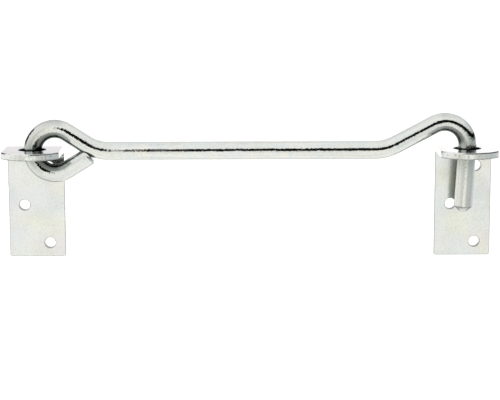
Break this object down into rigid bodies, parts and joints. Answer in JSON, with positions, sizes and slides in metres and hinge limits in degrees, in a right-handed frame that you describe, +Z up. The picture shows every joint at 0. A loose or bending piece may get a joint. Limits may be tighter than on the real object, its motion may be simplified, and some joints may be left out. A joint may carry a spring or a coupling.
{
  "type": "hook and eye latch",
  "caption": "Storm hook latch: a bent round rod whose eye hangs in one angle plate's tab and whose chamfered pin drops into the matching tab of a strike plate.",
  "frame": {"origin": "centre of the strike plate's back face", "axes": "+X along the bar from the eye plate to the strike plate, +Y into the wall that the plates are screwed to, +Z up"},
  "size_m": [0.215, 0.03, 0.0655],
  "materials": {
    "zinc_rod": "bright zinc plating on drawn steel rod, glossy",
    "zinc_sheet": "bright zinc plating on pressed steel sheet, satin with cloudy tints"
  },
  "bodies": {
    "strike_plate": {"strike_plate": "zinc_sheet"},
    "hook": {"hook": "zinc_rod"},
    "eye_plate": {"eye_plate": "zinc_sheet"}
  },
  "joints": [
    {"name": "hook_lift", "type": "hinge", "parent": "strike_plate", "child": "hook", "pos_m": [-0.1802, -0.015, 0.02415], "axis": [0, -1, 0], "range_deg": [0, 105]},
    {"name": "eye_plate_swivel", "type": "hinge", "parent": "strike_plate", "child": "eye_plate", "pos_m": [-0.19, -0.015, 0.0235], "axis": [0, 0, 1], "range_deg": [0, 180]}
  ]
}
